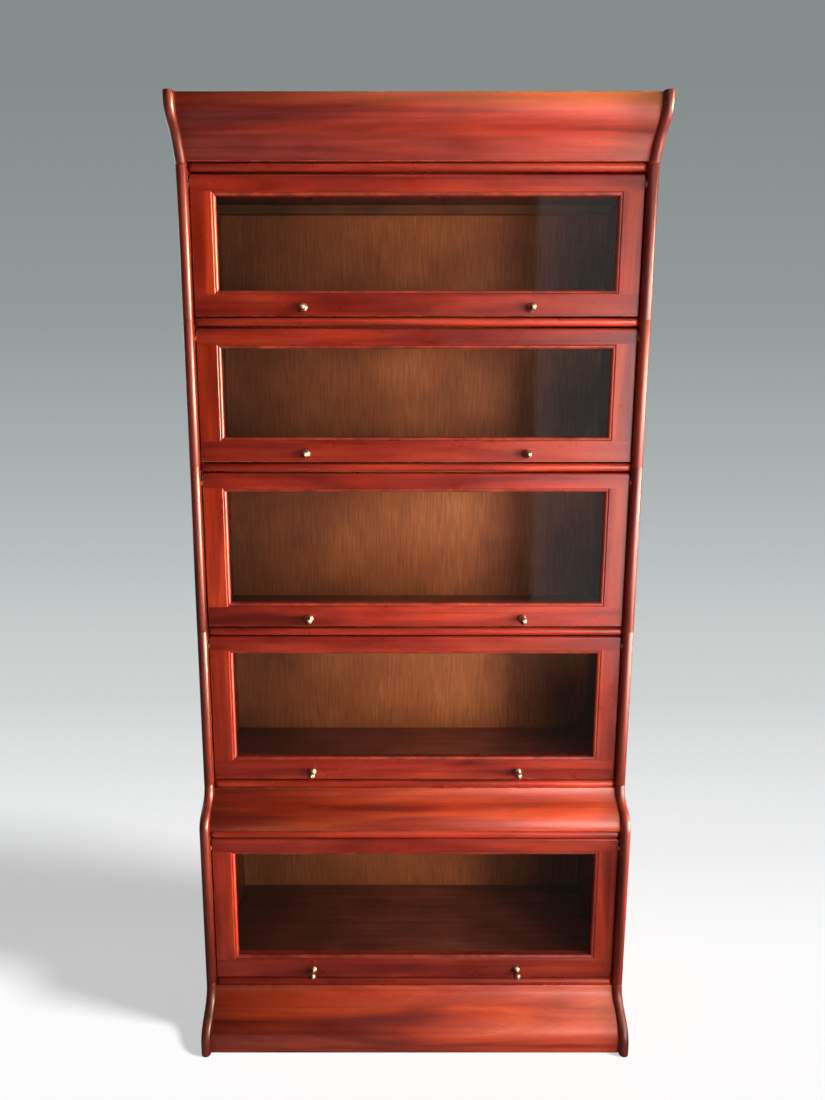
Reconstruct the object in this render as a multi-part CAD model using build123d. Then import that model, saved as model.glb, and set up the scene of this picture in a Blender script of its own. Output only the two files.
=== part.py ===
from build123d import *
import os

os.makedirs("parts", exist_ok=True)

# Sizes are in millimetres. X runs across the front, the front faces -Y, and Z is up.
# The origin is on the floor, under the middle of the bookcase.

# The stack of units, from the floor up
case_width = 864.0
end_thickness = 19.0
base_height = 112.0
lower_door_space = 325.0
tall_height = 325.5
short_height = 269.0
cornice_height = 100.0

# How deep each unit is, measured to the front of its rounded end boards
upper_depth = 296.0
lower_step = 56.0
base_flare = 65.0
cornice_flare = 65.0

# The three curved fronts
cornice_lip = 16.0
cornice_start = 3.0
cornice_middle_height = 44.0
cornice_middle_reach = 36.0
cornice_slope = 0.6
shoulder_height = 75.5
base_lip = 20.0
front_thickness = 18.0
front_recess = 12.0

# Shelves, backs and rails
nose_flat = 1.0
shelf_thickness = 14.5
shelf_drop = 9.0
shelf_recess = 9.0
shelf_lip_depth = 18.0
shelf_lip_gap = 2.5
shelf_corner = 9.0
back_thickness = 8.0
back_rebate = 9.5
back_gap = 0.5
rail_depth = 20.0
rail_height = 17.0
rail_gap = 0.5
top_thickness = 15.0
plinth_rail_thickness = 20.0
block_side = 40.0
block_height = 70.0

# Doors
door_recess = 15.5
door_thickness = 20.0
door_side_gap = 3.0
door_top_gap = 3.5
door_bottom_gap = 3.0
door_top_round = 5.0
stile_width = 44.0
top_rail_width = 37.0
bottom_rail_width = 47.0
bevel_width = 8.0
bevel_depth = 5.5
glass_lip = 8.0
glass_rebate = 9.0
glass_thickness = 3.0
glass_gap = 1.0
bead_reveal = 1.0

# Knobs
knob_offset = 211.0
knob_drop = 4.0
knob_ball_radius = 7.5
knob_neck_radius = 4.0
knob_neck_length = 5.0
knob_plate_radius = 9.0
knob_plate_thickness = 2.0
knob_plate_rise = 5.0

# Door slides: a shoe in a groove of each end board, a pivot pin on each shoe, and a tie rod
pivot_drop = 10.0
pin_radius = 3.0
pin_fit = 0.05
pin_depth = 13.0
pin_end_gap = 1.0
shoe_height = 10.0
shoe_thickness = 5.5
shoe_ahead = 9.0
shoe_behind = 26.0
shoe_gap = 0.2
groove_end_gap = 0.5
rod_radius = 4.0
rod_behind = 20.0

# Guide studs on the door edges, and the runners that carry them while the door is pushed back
stud_radius = 5.0
stud_length = 2.4
stud_drop = 45.0
runner_thickness = 2.4
runner_height = 8.0
runner_start = 12.0
runner_gap = 0.2
runner_end_gap = 1.0

# Worked-out positions
inner_half = case_width / 2 - end_thickness
door_half = inner_half - door_side_gap
nose_radius = (end_thickness - nose_flat) / 2
lip_radius = (shelf_thickness - nose_flat) / 2
shelf_rise = shelf_thickness - shelf_drop

back_y = (upper_depth + lower_step + base_flare) / 2
upper_y = back_y - upper_depth
lower_y = upper_y - lower_step
base_y = lower_y - base_flare
cornice_y = upper_y - cornice_flare
panel_y = back_y - back_thickness

lower_z = base_height
section_4_z = lower_z + lower_door_space + shelf_thickness + shoulder_height
section_3_z = section_4_z + tall_height
section_2_z = section_3_z + tall_height
section_1_z = section_2_z + short_height
cornice_z = section_1_z + short_height
top_z = cornice_z + cornice_height

# Each section: its floor seam, its top seam, the underside of the board over its door, its front
sections = {
    1: (section_1_z, cornice_z, cornice_z - shelf_drop, upper_y),
    2: (section_2_z, section_1_z, section_1_z - shelf_drop, upper_y),
    3: (section_3_z, section_2_z, section_2_z - shelf_drop, upper_y),
    4: (section_4_z, section_3_z, section_3_z - shelf_drop, upper_y),
    5: (lower_z, section_4_z, lower_z + lower_door_space, lower_y),
}


def block(x_low, x_high, y_low, y_high, z_low, z_high):
    """A square-edged board between the given limits."""
    size = (x_high - x_low, y_high - y_low, z_high - z_low)
    middle = ((x_low + x_high) / 2, (y_low + y_high) / 2, (z_low + z_high) / 2)
    return Pos(*middle) * Box(*size)


def cross_rod(radius, x_low, x_high, y, z):
    """A round bar lying across the bookcase."""
    bar = Rot(0, 90, 0) * Cylinder(radius, x_high - x_low)
    return Pos((x_low + x_high) / 2, y, z) * bar


def mirrored(shape):
    """The same piece on the other side of the bookcase."""
    return mirror(shape, about=Plane.YZ)


def save(name, *solids):
    """Write one named piece, or one group of like pieces."""
    shape = solids[0] if len(solids) == 1 else Compound(list(solids))
    export_step(shape, f"parts/{name}.step")


# Side outlines: each is a list of edges in depth and height, front on the left


def plain_front(z_low, z_high):
    """The straight front of a shallow section's end board."""
    return [Line((upper_y, z_low), (upper_y, z_high))]


def cornice_front_curve(shift):
    """The cornice front: a rising hollow that rounds over into an upright lip."""
    foot = (upper_y - cornice_start + shift, cornice_z)
    middle = (upper_y - cornice_middle_reach + shift, cornice_z + cornice_middle_height)
    turn = (cornice_y + shift, top_z - cornice_lip)
    sweep = Spline(foot, middle, turn, tangents=[(-cornice_slope, 1), (0, 1)])
    return [sweep, Line(turn, (cornice_y + shift, top_z))]


def shoulder_front_curve(shift):
    """The lower section's front: upright, then an S back to the shallow sections."""
    foot = (lower_y + shift, lower_z)
    turn = (lower_y + shift, section_4_z - shoulder_height)
    head = (upper_y + shift, section_4_z)
    return [Line(foot, turn), Spline(turn, head, tangents=[(0, 1), (0, 1)])]


def base_front_curve(shift):
    """The plinth front: an upright lip at the floor, then an S back to the lower section."""
    foot = (base_y + shift, 0)
    turn = (base_y + shift, base_lip)
    head = (lower_y + shift, lower_z)
    return [Line(foot, turn), Spline(turn, head, tangents=[(0, 1), (0, 1)])]


def end_outline(front):
    """Close a front line into a whole end board, running to the back."""
    foot = front[0] @ 0
    head = front[-1] @ 1
    back = Polyline((foot.X, foot.Y), (back_y, foot.Y), (back_y, head.Y), (head.X, head.Y))
    return make_face([*front, back])


def is_front_edge(edge):
    """True for the two long edges that run up the front of an end board."""
    box = edge.bounding_box()
    upright = box.size.Z > nose_flat
    return upright and box.size.X < nose_flat / 2 and box.center().Y < back_y - upper_depth / 2


def end_board(front):
    """A left end board with a rounded front edge."""
    board = extrude(Plane.YZ.offset(-case_width / 2) * end_outline(front), amount=end_thickness)
    return fillet(board.edges().filter_by(is_front_edge), nose_radius)


def pivot_point(number):
    """Depth and height of a section's door pivot."""
    floor_z, seam_z, under_z, front_y = sections[number]
    return front_y + door_recess + door_thickness / 2, under_z - door_top_gap - pivot_drop


def section_end(number, front):
    """A left end board with its slide groove and the rebate for the back."""
    floor_z, seam_z, under_z, front_y = sections[number]
    pivot_y, pivot_z = pivot_point(number)
    half = shoe_height / 2 + shoe_gap
    deep = -inner_half - shoe_thickness - shoe_gap
    start = pivot_y - shoe_ahead - groove_end_gap
    groove = block(deep, -inner_half, start, back_y, pivot_z - half, pivot_z + half)
    rebate = block(-inner_half - back_rebate, -inner_half, panel_y, back_y, floor_z, seam_z)
    return end_board(front) - groove - rebate


def shelf(front_y, seam_z):
    """A full-depth board whose rounded lip shows between the doors."""
    low, high = seam_z - shelf_drop, seam_z + shelf_rise
    lip_front = front_y + shelf_recess
    body_front = lip_front + shelf_corner
    lip_half = inner_half - shelf_lip_gap
    lip = block(-lip_half, lip_half, lip_front, lip_front + shelf_lip_depth, low, high)
    corners = lip.edges().filter_by(Axis.Z).group_by(Axis.Y)[0]
    lip = fillet(corners, shelf_corner)
    rims = lip.faces().sort_by(Axis.Z)[0].edges() + lip.faces().sort_by(Axis.Z)[-1].edges()
    lip = fillet(rims.sort_by(Axis.Y)[:-2], lip_radius)
    return lip + block(-inner_half, inner_half, body_front, panel_y, low, high)


def section_back(number):
    """A thin panel let into the back edges of the end boards."""
    floor_z, seam_z, under_z, front_y = sections[number]
    half = inner_half + back_rebate - back_gap
    return block(-half, half, panel_y, back_y, floor_z, seam_z)


def back_rail(number):
    """The rail that ties the end boards together at the top of the back."""
    under_z = sections[number][2]
    high = under_z - rail_gap
    return block(-inner_half, inner_half, panel_y - rail_depth, panel_y, high - rail_height, high)


def runners(number):
    """Left and right strips that carry the guide studs of an open door."""
    pivot_y, pivot_z = pivot_point(number)
    front_y = sections[number][3]
    high = pivot_z - stud_radius - runner_gap
    y_low, y_high = front_y + runner_start, panel_y - runner_end_gap
    inside = -inner_half + runner_thickness
    left = block(-inner_half, inside, y_low, y_high, high - runner_height, high)
    return [left, mirrored(left)]


# Doors


def door_limits(number):
    """Front face, bottom edge and top edge of a closed door."""
    floor_z, seam_z, under_z, front_y = sections[number]
    low = floor_z + shelf_rise + door_bottom_gap
    return front_y + door_recess, low, under_z - door_top_gap


def sight_block(number, grow, y_low, y_high):
    """A block the size of the glass opening, grown on every side."""
    face_y, low, high = door_limits(number)
    half = door_half - stile_width + grow
    z_low, z_high = low + bottom_rail_width - grow, high - top_rail_width + grow
    return block(-half, half, y_low, y_high, z_low, z_high)


def bevel_cutter(number):
    """The tapered block that moulds the front of the glass opening."""
    face_y, low, high = door_limits(number)
    middle_z = (low + bottom_rail_width + high - top_rail_width) / 2
    width = 2 * (door_half - stile_width)
    height = high - low - top_rail_width - bottom_rail_width
    front = Plane(origin=(0, face_y, middle_z), x_dir=(1, 0, 0), z_dir=(0, 1, 0))
    outer = front * Rectangle(width + 2 * bevel_width, height + 2 * bevel_width)
    inner = front.offset(bevel_depth) * Rectangle(width, height)
    return loft([outer, inner], ruled=True)


def door_blank(number):
    """The door as one ring: opening, moulded edge, glass rebate and pivot holes."""
    face_y, low, high = door_limits(number)
    pivot_y, pivot_z = pivot_point(number)
    rear_y = face_y + door_thickness
    blank = block(-door_half, door_half, face_y, rear_y, low, high)
    top_edges = blank.edges().filter_by(Axis.X).group_by(Axis.Z)[-1]
    blank = fillet(top_edges.sort_by(Axis.Y)[0], door_top_round)
    blank -= sight_block(number, 0, face_y, rear_y)
    blank -= sight_block(number, glass_rebate, face_y + glass_lip, rear_y)
    blank -= bevel_cutter(number)
    hole_end = -door_half + pin_depth + pin_end_gap
    hole = cross_rod(pin_radius + pin_fit, -door_half, hole_end, pivot_y, pivot_z)
    return blank - hole - mirrored(hole)


def door_frame(number):
    """Two rails running the full width, and two stiles between them."""
    face_y, low, high = door_limits(number)
    blank = door_blank(number)
    rear_y = face_y + door_thickness
    side = door_half - stile_width
    joint_low, joint_high = low + bottom_rail_width, high - top_rail_width
    bottom = blank & block(-door_half, door_half, face_y, rear_y, low, joint_low)
    top = blank & block(-door_half, door_half, face_y, rear_y, joint_high, high)
    left = blank & block(-door_half, -side, face_y, rear_y, joint_low, joint_high)
    right = blank & block(side, door_half, face_y, rear_y, joint_low, joint_high)
    return [left, right, bottom, top]


def door_glass(number):
    """One pane, lying against the back of the moulded lip."""
    glass_y = door_limits(number)[0] + glass_lip
    return sight_block(number, glass_rebate - glass_gap, glass_y, glass_y + glass_thickness)


def door_beads(number):
    """Four strips that hold the pane in from behind."""
    face_y, low, high = door_limits(number)
    y_low, y_high = face_y + glass_lip + glass_thickness, face_y + door_thickness
    out_x = door_half - stile_width + glass_rebate
    in_x = door_half - stile_width + bead_reveal
    out_low, out_high = low + bottom_rail_width - glass_rebate, high - top_rail_width + glass_rebate
    in_low, in_high = low + bottom_rail_width - bead_reveal, high - top_rail_width + bead_reveal
    left = block(-out_x, -in_x, y_low, y_high, in_low, in_high)
    bottom = block(-out_x, out_x, y_low, y_high, out_low, in_low)
    top = block(-out_x, out_x, y_low, y_high, in_high, out_high)
    return [left, mirrored(left), bottom, top]


def knob():
    """A turned ball on a short neck and a wider plate that rises to it, pointing forward from the origin."""
    neck_y = -knob_plate_thickness - knob_plate_rise
    ball_y = neck_y - knob_neck_length - knob_ball_radius
    meet_y = ball_y + (knob_ball_radius**2 - knob_neck_radius**2) ** 0.5
    stem = Polyline(
        (0, ball_y - knob_ball_radius),
        (0, 0),
        (knob_plate_radius, 0),
        (knob_plate_radius, -knob_plate_thickness),
        (knob_neck_radius, neck_y),
        (knob_neck_radius, meet_y),
    )
    side = (knob_ball_radius, ball_y)
    ball = ThreePointArc((knob_neck_radius, meet_y), side, (0, ball_y - knob_ball_radius))
    return revolve(make_face([*stem.edges(), ball]), axis=Axis.Y)


def knob_height(number):
    """Height of the knobs: a little under the middle of the flat of the bottom rail."""
    return door_limits(number)[1] + (bottom_rail_width - bevel_width) / 2 - knob_drop


def door_brass(number):
    """The two knobs and the two guide studs of a door."""
    face_y = door_limits(number)[0]
    pivot_y, pivot_z = pivot_point(number)
    left_knob = Pos(-knob_offset, face_y, knob_height(number)) * knob()
    stud = cross_rod(stud_radius, -door_half - stud_length, -door_half, pivot_y, pivot_z - stud_drop)
    return [left_knob, mirrored(left_knob), stud, mirrored(stud)]


def carriage(number):
    """Two shoes with pivot pins, and the rod that keeps them level with each other."""
    pivot_y, pivot_z = pivot_point(number)
    low, high = pivot_z - shoe_height / 2, pivot_z + shoe_height / 2
    outside = -inner_half - shoe_thickness
    shoe = block(outside, -inner_half, pivot_y - shoe_ahead, pivot_y + shoe_behind, low, high)
    shoe += cross_rod(pin_radius, -inner_half, -door_half + pin_depth, pivot_y, pivot_z)
    rod = cross_rod(rod_radius, -inner_half, inner_half, pivot_y + rod_behind, pivot_z)
    return [shoe, mirrored(shoe), rod]


# Curved front boards, between the end boards


def front_board(curve, z_low, z_high):
    """A curved board that follows the end boards, set back from their noses."""
    front = curve(front_recess)
    rear = curve(front_recess + front_thickness)
    foot = Line(front[0] @ 0, rear[0] @ 0)
    head = Line(front[-1] @ 1, rear[-1] @ 1)
    outline = make_face([*front, *rear, foot, head])
    board = extrude(Plane.YZ.offset(-inner_half) * outline, amount=2 * inner_half)
    return board & block(-inner_half, inner_half, base_y, back_y, z_low, z_high)


def save_pair(name, left):
    """Write a left piece and its mirror image on the right."""
    save(f"{name}_left_end", left)
    save(f"{name}_right_end", mirrored(left))


def save_section(number):
    """Write one bookcase section with its door and door slide."""
    floor_z, seam_z, under_z, front_y = sections[number]
    deep = front_y == lower_y
    front = shoulder_front_curve(0) if deep else plain_front(floor_z, seam_z)
    save_pair(f"section_{number}", section_end(number, front))
    save(f"section_{number}_shelf", shelf(front_y, floor_z))
    save(f"section_{number}_back", section_back(number))
    save(f"door_{number}_frame", *door_frame(number))
    save(f"door_{number}_glass", door_glass(number))
    save(f"door_{number}_beads", *door_beads(number))
    save(f"door_{number}_knobs_and_studs", *door_brass(number))
    save(f"door_{number}_slide", *carriage(number))


def save_shoulder():
    """Write the board over the lowest door and the curved board above it."""
    lip_z = lower_z + lower_door_space + shelf_drop
    save("section_5_top", shelf(lower_y, lip_z))
    save("shoulder_front", front_board(shoulder_front_curve, lip_z + shelf_rise, section_4_z - shelf_drop))


def save_cornice():
    """Write the crowning unit."""
    save_pair("cornice", end_board(cornice_front_curve(0)))
    save("cornice_bottom", shelf(upper_y, cornice_z))
    low = cornice_z + shelf_rise
    save("cornice_front", front_board(cornice_front_curve, low, top_z))
    top_front = cornice_y + front_recess + front_thickness
    under = top_z - top_thickness
    save("cornice_top", block(-inner_half, inner_half, top_front, back_y, under, top_z))
    rail_y = back_y - plinth_rail_thickness
    save("cornice_back_rail", block(-inner_half, inner_half, rail_y, back_y, low, under))


def base_blocks(rail_y):
    """Four square glue blocks in the corners of the plinth."""
    front_y = lower_y + front_recess + front_thickness
    high = lower_z - shelf_drop
    low = high - block_height
    inside = -inner_half + block_side
    front = block(-inner_half, inside, front_y, front_y + block_side, low, high)
    rear = block(-inner_half, inside, rail_y - block_side, rail_y, low, high)
    return [front, mirrored(front), rear, mirrored(rear)]


def save_base():
    """Write the plinth."""
    rail_y = back_y - plinth_rail_thickness
    high = lower_z - shelf_drop
    save_pair("base", end_board(base_front_curve(0)))
    save("base_front", front_board(base_front_curve, 0, high))
    save("base_back_rail", block(-inner_half, inner_half, rail_y, back_y, 0, high))
    save("base_corner_blocks", *base_blocks(rail_y))


for section_number in sections:
    save_section(section_number)
save_shoulder()
save_cornice()
save_base()
save("section_back_rails", *[back_rail(number) for number in sections])
save("door_runners", *[strip for number in sections for strip in runners(number)])
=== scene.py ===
# %% [markdown]
# # A stacked bookcase with lifting glass doors
# Five boxes stand on a flared plinth, under a hollow cornice. Each box has one glazed door that lifts
# about its top edge and is then pushed back over the books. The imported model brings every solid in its
# right place. This script models the pieces that the eye dwells on again, with mouldings and softened
# edges, and gives every piece its finish. Blender counts in metres; X runs across the front, -Y is ahead.

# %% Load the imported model
import math

import bmesh
import bpy
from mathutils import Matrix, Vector


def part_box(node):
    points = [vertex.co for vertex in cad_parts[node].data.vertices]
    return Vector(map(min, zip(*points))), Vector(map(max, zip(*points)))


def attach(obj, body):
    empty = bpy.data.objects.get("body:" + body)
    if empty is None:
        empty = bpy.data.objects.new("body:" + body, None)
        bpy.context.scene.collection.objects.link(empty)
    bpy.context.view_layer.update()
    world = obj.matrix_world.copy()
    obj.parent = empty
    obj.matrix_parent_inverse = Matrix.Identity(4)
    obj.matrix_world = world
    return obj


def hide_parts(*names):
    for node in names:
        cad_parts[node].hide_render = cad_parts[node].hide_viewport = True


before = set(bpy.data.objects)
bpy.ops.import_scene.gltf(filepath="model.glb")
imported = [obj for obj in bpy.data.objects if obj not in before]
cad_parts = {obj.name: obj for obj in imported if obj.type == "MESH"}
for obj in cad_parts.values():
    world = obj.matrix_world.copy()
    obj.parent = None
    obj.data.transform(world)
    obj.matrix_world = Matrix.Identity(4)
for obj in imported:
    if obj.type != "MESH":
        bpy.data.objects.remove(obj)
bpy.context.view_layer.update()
mm = 0.001

# %% [markdown]
# ## The camera
# The bookcase was looked at from a little over a metre and a half away, from eye height, with the head
# tipped down. A wide lens that close makes the top of the case flare out. The long side of the picture
# is the sensor width here, so the focal length in pixels turns straight into a lens in millimetres.

# %% Stand the camera in front
picture_height, focal_pixels = 1100, 808.6
camera_place = (-0.040, -1.6239, 1.304)
tipped_down = math.radians(10.54)
sensor_mm, sideways = 36, 0.0158

bpy.ops.object.select_all(action="DESELECT")
bpy.ops.object.camera_add(location=camera_place, rotation=(math.pi / 2 - tipped_down, 0, 0))
camera = bpy.context.object
camera.data.sensor_width = sensor_mm
camera.data.lens = sensor_mm * focal_pixels / picture_height
camera.data.shift_x = sideways
bpy.context.scene.camera = camera
print("lens, mm:", round(camera.data.lens, 2))

# %% [markdown]
# ## Colours and nodes
# Colours are written as the eye names them, in sRGB hex, but a shader adds light, which needs linear
# values. One function turns the first into the second. One more adds a node, sets it and links it, so
# that a material below reads as a list of what it is made of. Inputs come by name, or as a list that
# fills the node from its top socket down: for a Map Range the value, the range it has, the range it gets.
# A node that is given as an input stands for its first output.

# %% Turn a hex colour to linear, and add a node
def colour(code):
    """Linear red, green, blue and a full alpha from an sRGB hex code."""
    parts = [int(code[i:i + 2], 16) / 255 for i in (1, 3, 5)]
    return [p / 12.92 if p <= 0.04045 else ((p + 0.055) / 1.055) ** 2.4 for p in parts] + [1.0]


def add_node(tree, kind, inputs=(), ramp=None, **settings):
    """Add a node: its settings, its input values or links, and the stops of its colour ramp."""
    made = tree.nodes.new("ShaderNode" + kind)
    for name, value in settings.items():
        setattr(made, name, value)
    for name, value in inputs.items() if isinstance(inputs, dict) else enumerate(inputs):
        if isinstance(value, bpy.types.Node):
            value = value.outputs[0]
        if isinstance(value, bpy.types.NodeSocket):
            tree.links.new(value, made.inputs[name])
        else:
            made.inputs[name].default_value = value
    if ramp:
        stops = made.color_ramp.elements
        while len(stops) < len(ramp):
            stops.new(1.0)
        for stop, (place, code) in zip(stops, ramp):
            stop.position, stop.color = place, colour(code)
    return made


def new_material(name):
    """An empty material, and its node tree."""
    material = bpy.data.materials.new(name)
    material.use_nodes = True
    material.node_tree.nodes.clear()
    return material, material.node_tree


# %% [markdown]
# ## The studio sheet
# Behind and under the bookcase is one sheet of paper that runs along the floor and sweeps up a wall.
# A plane whose far edge is extruded upwards makes it, and a wide bevel rounds the fold away. An operator
# works on what is selected, so a small function selects edges or faces by a test on their place.

# %% Select by a test, and extrude
def pick(kind, test):
    """In edit mode, select only the points, edges or faces that pass a test."""
    bpy.ops.mesh.select_mode(type=kind)
    bpy.ops.mesh.select_all(action="DESELECT")
    mesh = bmesh.from_edit_mesh(bpy.context.object.data)
    for item in {"VERT": mesh.verts, "EDGE": mesh.edges, "FACE": mesh.faces}[kind]:
        if test(item):
            item.select_set(True)
    mesh.select_flush_mode()
    bmesh.update_edit_mesh(bpy.context.object.data)


def middle_of(edge):
    """The point half way along an edge."""
    return (edge.verts[0].co + edge.verts[1].co) / 2


def extrude(move):
    """Extrude what is selected, and move the new part."""
    bpy.ops.mesh.extrude_region_move(TRANSFORM_OT_translate={"value": move})


# %% Lay the sheet
sheet_width, sheet_depth, sheet_middle = 40, 8.5, 0.25
wall_height, fold_radius = 6, 1.2
near_wall, near_floor = 4, 0.1

bpy.ops.object.select_all(action="DESELECT")
bpy.ops.mesh.primitive_plane_add(size=1, location=(0, sheet_middle, 0))
sheet = bpy.context.object
sheet.name = "studio_sheet"
sheet.scale = (sheet_width, sheet_depth, 1)
bpy.ops.object.transform_apply(location=True, rotation=True, scale=True)
bpy.ops.object.mode_set(mode="EDIT")
pick("EDGE", lambda edge: middle_of(edge).y > near_wall)
extrude((0, 0, wall_height))
pick("EDGE", lambda edge: middle_of(edge).y > near_wall and abs(middle_of(edge).z) < near_floor)
bpy.ops.mesh.bevel(offset=fold_radius, segments=12, affect="EDGES")
bpy.ops.object.mode_set(mode="OBJECT")
bpy.ops.object.shade_smooth_by_angle(angle=math.radians(30))
print("sheet faces:", len(sheet.data.polygons))

# %% [markdown]
# The paper goes from white at the feet to a grey with a trace of green at the top. What the camera sees
# of the wall shines by itself, so no lamp marks it, and the floor keeps half of its own shading, for the
# shadow. In polished wood and glass the paper shows dim, so that the boards keep their deep red.

# %% Colour the sheet
def seen_by_camera(tree):
    """1 for what the camera sees, straight or through glass, and 0 for what lights the case."""
    ray = add_node(tree, "LightPath")
    rays = [ray.outputs["Is Camera Ray"], ray.outputs["Is Transmission Ray"]]
    return add_node(tree, "Math", rays, operation="MAXIMUM")


# Matt paper: no gloss at all, one even tone that changes slowly from floor to wall
paper, tree = new_material("studio_paper")
place = add_node(tree, "TexCoord")
axes = add_node(tree, "SeparateXYZ", [place.outputs["Object"]])
far = add_node(tree, "Math", [axes.outputs["Y"], 0.35, axes.outputs["Z"]], operation="MULTIPLY_ADD")
along = add_node(tree, "MapRange", [far, -0.45, 5.6])
tint = add_node(tree, "ValToRGB", [along],
                ramp=[(0.0, "#fefefe"), (0.08, "#fefefe"), (0.106, "#f0f1f1"), (0.177, "#d0d4d3"),
                      (0.362, "#b7bcbd"), (0.668, "#919a99"), (0.932, "#848d8c")])
share = add_node(tree, "MapRange", [far, 0.1, 0.9, 0.54, 1.0])
glow = add_node(tree, "Math", [seen_by_camera(tree), share], operation="MULTIPLY")
matt = add_node(tree, "BsdfDiffuse", [tint])
shine = add_node(tree, "Emission", [tint])
both = add_node(tree, "MixShader", [glow, matt, shine])
dim = add_node(tree, "Emission", [colour("#2a2c2c")])
in_polish = add_node(tree, "LightPath").outputs["Is Glossy Ray"]
surface = add_node(tree, "MixShader", [in_polish, both, dim])
add_node(tree, "OutputMaterial", [surface])
sheet.data.materials.append(paper)
print("material:", paper.name)

# %% [markdown]
# ## Light
# Tall soft lamps stand at the right, a little ahead of the front. They stand close, so the right of the
# case is brighter than the left, and polished edges that face right carry a bright line. Weak panels
# above, behind and at the left serve the other sides. The sheet has a sun of its own, which throws the
# shadow of the case to the left. Light linking does that: a lamp can be given a collection of what it
# shines on, or of what it leaves out, and all lamps but the sun leave out the sheet.

# %% Light the sheet by itself
sun_way = Vector((-0.66, 0.18, -0.73))
sun_strength, sun_angle = 3.9, math.radians(10)

bpy.ops.object.light_add(type="SUN", rotation=sun_way.to_track_quat("-Z", "Y").to_euler())
sun = bpy.context.object
sun.name = "light_on_the_sheet"
sun.data.energy, sun.data.angle = sun_strength, sun_angle
only_sheet = bpy.data.collections.new("only_the_sheet")
only_sheet.objects.link(sheet)
sun.light_linking.receiver_collection = only_sheet
not_sheet = bpy.data.collections.new("all_but_the_sheet")
not_sheet.objects.link(sheet)
not_sheet.collection_objects[0].light_linking.link_state = "EXCLUDE"
print("sun on the sheet, strength:", sun_strength)


# %% Hang the lamps
def hang_lamp(name, place, target, width, height, watts, spread=180, tint="#ffffff"):
    """A soft rectangular lamp at a place, turned towards a target, shining within an angle."""
    aim = (Vector(target) - Vector(place)).to_track_quat("-Z", "Y").to_euler()
    bpy.ops.object.light_add(type="AREA", location=place, rotation=aim)
    lamp = bpy.context.object
    lamp.name = name
    lamp.data.shape = "RECTANGLE"
    lamp.data.size, lamp.data.size_y = width, height
    lamp.data.energy, lamp.data.spread = watts, math.radians(spread)
    lamp.data.color = colour(tint)[:3]
    lamp.visible_camera = False
    lamp.light_linking.receiver_collection = not_sheet
    print(name, "watts:", watts)


hang_lamp("window_at_right", (1.0, -0.42, 0.9), (0.0, -0.1, 0.85), 0.4, 1.2, 8, tint="#fff2e0")
hang_lamp("window_edge", (1.3, -0.33, 1.2), (-0.42, -0.22, 1.12), 0.25, 1.9, 12, 26, tint="#ffdcb8")
hang_lamp("window_ahead", (1.3, -1.45, 0.95), (0.42, -0.05, 0.88), 0.5, 1.3, 3.6, 56)
hang_lamp("window_far_right", (1.6, -1.1, 1.0), (0.2, -0.1, 0.9), 0.8, 1.6, 4.5)
hang_lamp("bright_wall_at_right", (1.15, -2.0, 1.22), (0.35, -0.05, 1.1), 1.2, 2.2, 16)
hang_lamp("panel_above", (0.3, -1.3, 2.6), (0.15, -0.15, 0.6), 1.6, 0.9, 4)
hang_lamp("panel_behind", (0.9, 2.6, 1.9), (0.0, 0.2, 0.9), 1.2, 1.2, 24)
hang_lamp("panel_at_left", (-1.7, 1.1, 1.4), (-0.43, 0.1, 0.9), 1.0, 1.4, 10)

# %% [markdown]
# Around it all is a dim grey that keeps the shadows from going black. Only where the camera looks past
# the sheet is it pale, as the sheet is.

# %% Surround it with dim light
world = bpy.data.worlds.new("dim_room")
world.use_nodes = True
tree = world.node_tree
tree.nodes.clear()
dim_room = add_node(tree, "Background", [colour("#aab0b0"), 0.05])
pale_wall = add_node(tree, "Background", [colour("#aeb5b5"), 1.0])
either = add_node(tree, "MixShader", [seen_by_camera(tree), dim_room, pale_wall])
add_node(tree, "OutputWorld", [either])
bpy.context.scene.world = world
print("world:", world.name)

# %% [markdown]
# ## Mahogany, stained red and French polished
# The case is mahogany under many rubbed coats of shellac: a deep red wood with long darker ribbons, short
# pores along the grain, brown clouds and a warm, slightly uneven gloss. Each board was sawn from another
# place, so each carries a number, kept on its faces, that shifts the figure. The pores are a fifth of a
# millimetre wide on the real wood; here they are drawn four times as wide, so that they show.

# %% Draw the figure of a board
board_shift = (0.373, 0.719, 0.531)


def wood_figure(tree, place, grain):
    """The noises of a sawn board, drawn out along the axis of its grain."""
    board = add_node(tree, "Attribute", attribute_name="board_number")
    shift = add_node(tree, "VectorMath", {0: board_shift, "Scale": board.outputs["Fac"]}, operation="SCALE")
    moved = add_node(tree, "VectorMath", [place, shift], operation="ADD")

    def stretched(length, width, **look):
        """A noise whose patches have a length and a width, in millimetres."""
        scale = [1000 / width] * 3
        scale[grain] = 1000 / length
        run = add_node(tree, "Mapping", {"Vector": moved, "Scale": scale})
        return add_node(tree, "TexNoise", {"Vector": run, "Scale": 1.0, **look})

    # Smears left by the polisher's pad are about 70 mm across
    smears = add_node(tree, "TexNoise", {"Vector": moved, "Scale": 14.0, "Detail": 3.0})
    return {"figure": stretched(450, 42, Detail=4.0, Roughness=0.55, Distortion=0.8),
            "ribbons": stretched(700, 9, Detail=3.0), "pores": stretched(16, 0.8, Detail=1.0),
            "clouds": stretched(260, 70, Detail=3.0), "smears": smears}


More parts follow.
